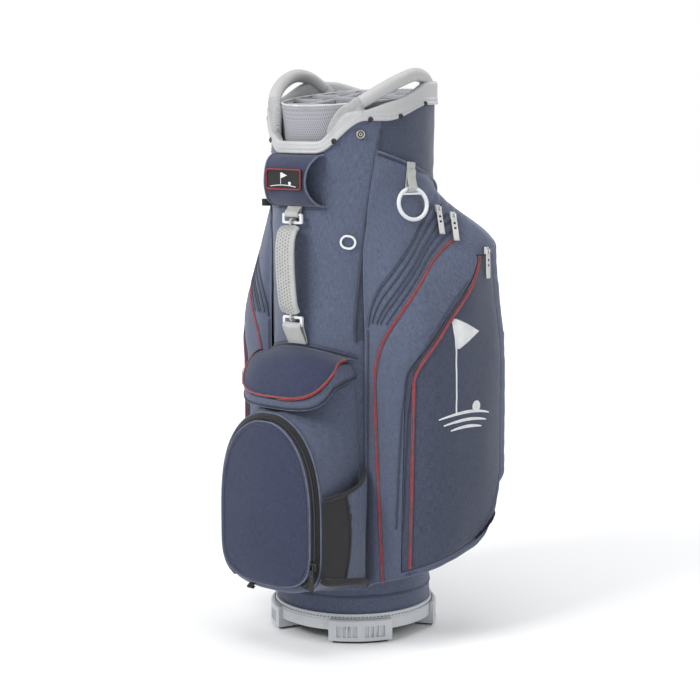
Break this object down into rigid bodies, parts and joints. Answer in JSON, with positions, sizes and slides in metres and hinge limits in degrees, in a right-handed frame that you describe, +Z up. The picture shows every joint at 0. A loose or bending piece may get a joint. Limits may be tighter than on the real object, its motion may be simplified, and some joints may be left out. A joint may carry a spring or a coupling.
{
  "type": "golf staff bag",
  "caption": "Upright cart-style golf bag with an oval padded top divider, two carry handles, zipped front and side pockets, a bottle sleeve and a footed moulded base.",
  "frame": {"origin": "on the floor under the axis of the tube, at the middle of the four feet", "axes": "+Z up along the tube, -Y out of the front (ball pocket) side, +X to the right side as seen from the front"},
  "size_m": [0.4332, 0.3657, 0.9004],
  "materials": {
    "bag_fabric": "woven polyester with a fine crosswise weave",
    "panel_fabric": "woven polyester, a little darker",
    "mesh_grey": "light grey spacer mesh",
    "light_plastic": "fine moulded texture",
    "grip": "smooth soft-touch sleeve",
    "webbing": "light grey webbing",
    "piping_red": "red woven piping",
    "piping_blue": "dark blue piping",
    "black_trim": "black webbing and zip tape",
    "black_mesh": "black elastic mesh",
    "black_plastic": "satin moulded black",
    "dark_plastic": "plain moulded dark grey",
    "pull_plastic": "satin light grey zip pulls",
    "ring_plastic": "satin white",
    "stud_metal": "nickel-plated snap",
    "rod_metal": "drawn rod",
    "pad_rubber": "moulded rubber",
    "badge": null
  },
  "bodies": {
    "bag": {"base_ring": "light_plastic", "base_floor": "dark_plastic", "base_feet": "light_plastic", "foot_pads": "pad_rubber", "tube_shell": "bag_fabric", "stay_rods": "rod_metal", "divider_walls": "dark_plastic", "divider_frame": "mesh_grey", "divider_rim": "mesh_grey", "top_cuff": "light_plastic", "right_handle_grip": "grip", "left_handle_grip": "grip", "cuff_screws": "black_plastic", "badge_pouch": "bag_fabric", "badge_patch": "badge", "upper_handle_ring": "ring_plastic", "lower_handle_ring": "ring_plastic", "upper_handle_anchor": "webbing", "lower_handle_strap": "webbing", "snap_stud": "stud_metal", "oval_eyelet": "ring_plastic", "side_loop": "black_trim", "valuables_pocket": "bag_fabric", "valuables_slider": "pull_plastic", "ball_pocket": "bag_fabric", "ball_zip_tape": "black_trim", "bottle_sleeve": "black_mesh", "bottle_binding": "black_trim", "right_apparel_pocket": "bag_fabric", "left_apparel_pocket": "bag_fabric", "right_inner_piping": "piping_red", "left_inner_piping": "piping_red", "right_zip_sliders": "pull_plastic", "left_zip_sliders": "pull_plastic", "right_cart_loop": "black_trim", "left_cart_loop": "black_trim", "spine_panel": "bag_fabric", "towel_webbing": "webbing"},
    "grab_handle": {"front_handle": "webbing"},
    "towel_ring": {"towel_ring": "ring_plastic"},
    "valuables_lid": {"valuables_lid": "bag_fabric", "valuables_piping": "piping_red"},
    "valuables_pull": {"valuables_pull": "pull_plastic"},
    "ball_panel": {"ball_panel": "bag_fabric", "ball_piping": "piping_blue"},
    "ball_slider": {"ball_slider": "black_plastic"},
    "ball_pull": {"ball_pull": "black_plastic"},
    "right_apparel_panel": {"right_apparel_panel": "panel_fabric", "right_outer_piping": "piping_red", "right_outer_slider": "pull_plastic"},
    "left_apparel_panel": {"left_apparel_panel": "panel_fabric", "left_outer_piping": "piping_red", "left_outer_slider": "pull_plastic"},
    "right_upper_pull": {"right_upper_pull": "pull_plastic"},
    "right_middle_pull": {"right_middle_pull": "pull_plastic"},
    "right_outer_pull": {"right_outer_pull": "pull_plastic"},
    "left_upper_pull": {"left_upper_pull": "pull_plastic"},
    "left_middle_pull": {"left_middle_pull": "pull_plastic"},
    "left_outer_pull": {"left_outer_pull": "pull_plastic"}
  },
  "joints": [
    {"name": "grab_handle_swivel", "type": "hinge", "parent": "bag", "child": "grab_handle", "pos_m": [0, -0.146, 0.592], "axis": [0, 0, 1], "range_deg": [-35, 35]},
    {"name": "towel_ring_swing", "type": "hinge", "parent": "bag", "child": "towel_ring", "pos_m": [0.13623, -0.0242, 0.717], "axis": [-0.4067, -0.9135, 0], "range_deg": [0, 135]},
    {"name": "valuables_lid_lift", "type": "hinge", "parent": "bag", "child": "valuables_lid", "pos_m": [0, -0.1356, 0.47], "axis": [-1, 0, 0], "range_deg": [0, 60]},
    {"name": "ball_panel_drop", "type": "hinge", "parent": "bag", "child": "ball_panel", "pos_m": [0, -0.2092, 0.1066], "axis": [1, 0, 0], "range_deg": [0, 80]},
    {"name": "right_apparel_panel_swing", "type": "hinge", "parent": "bag", "child": "right_apparel_panel", "pos_m": [0.214, 0.108, 0.35], "axis": [0, 0, 1], "range_deg": [0, 35]},
    {"name": "right_upper_pull_swing", "type": "hinge", "parent": "bag", "child": "right_upper_pull", "pos_m": [0.154, 0.02138, 0.6887], "axis": [-0.3852, -0.9186, 0.0881], "range_deg": [0, 100]},
    {"name": "right_middle_pull_swing", "type": "hinge", "parent": "bag", "child": "right_middle_pull", "pos_m": [0.16909, 0.03946, 0.67777], "axis": [-0.4898, -0.8701, 0.0543], "range_deg": [0, 100]},
    {"name": "right_outer_pull_swing", "type": "hinge", "parent": "right_apparel_panel", "child": "right_outer_pull", "pos_m": [0.21331, 0.07222, 0.62219], "axis": [0.0234, -0.9994, 0.0245], "range_deg": [0, 100]},
    {"name": "left_apparel_panel_swing", "type": "hinge", "parent": "bag", "child": "left_apparel_panel", "pos_m": [-0.214, 0.108, 0.35], "axis": [0, 0, -1], "range_deg": [0, 35]},
    {"name": "left_upper_pull_swing", "type": "hinge", "parent": "bag", "child": "left_upper_pull", "pos_m": [-0.154, 0.02138, 0.6887], "axis": [-0.3852, 0.9186, -0.0881], "range_deg": [0, 100]},
    {"name": "left_middle_pull_swing", "type": "hinge", "parent": "bag", "child": "left_middle_pull", "pos_m": [-0.16909, 0.03946, 0.67777], "axis": [-0.4898, 0.8701, -0.0543], "range_deg": [0, 100]},
    {"name": "left_outer_pull_swing", "type": "hinge", "parent": "left_apparel_panel", "child": "left_outer_pull", "pos_m": [-0.21331, 0.07222, 0.62219], "axis": [0.0234, 0.9994, -0.0245], "range_deg": [0, 100]},
    {"name": "valuables_pull_swing", "type": "hinge", "parent": "bag", "child": "valuables_pull", "pos_m": [-0.09608, -0.15943, 0.42707], "axis": [-0.2079, 0.9781, 0], "range_deg": [0, 100]},
    {"name": "ball_slider_slide", "type": "slide", "parent": "bag", "child": "ball_slider", "axis": [0, 0, 1], "range_m": [0, 0.09]},
    {"name": "ball_pull_swing", "type": "hinge", "parent": "ball_slider", "child": "ball_pull", "pos_m": [0.098, -0.2162, 0.1515], "axis": [-1, 0, 0], "range_deg": [0, 100]}
  ]
}
